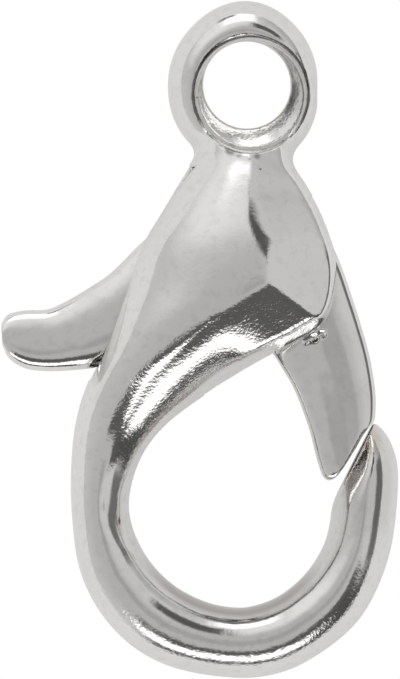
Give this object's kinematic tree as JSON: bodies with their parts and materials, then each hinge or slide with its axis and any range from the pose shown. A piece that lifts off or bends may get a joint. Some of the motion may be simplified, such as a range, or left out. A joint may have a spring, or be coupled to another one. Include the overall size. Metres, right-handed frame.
{
  "type": "lobster clasp",
  "caption": "Cast lobster clasp with a round eye, a domed shoulder, a sprung thumb lever and a hook, lying on its back.",
  "frame": {"origin": "middle of the clasp's outline, on the plane that its back lies on", "axes": "+X to the right of the front view, away from the thumb tab; +Y from the hook towards the eye; +Z out of the front"},
  "size_m": [0.007, 0.012, 0.003],
  "materials": {
    "silver_plate": "bright silver plate on cast zinc alloy",
    "pin_steel": "plain, silver plated with the rest",
    "spring_steel": "plain wire"
  },
  "bodies": {
    "clasp": {"hook_body": "silver_plate", "pivot_pin": "pin_steel", "spring": "spring_steel"},
    "lever": {"lever": "silver_plate"}
  },
  "joints": [
    {"name": "lever_hinge", "type": "hinge", "parent": "clasp", "child": "lever", "pos_m": [0.00114, 0.00185, 0.0012], "axis": [0, 0, -1], "range_deg": [0, 22], "stiffness_Nm_per_rad": 0.008, "springref_deg": -14.32, "deforming": ["spring"]}
  ]
}
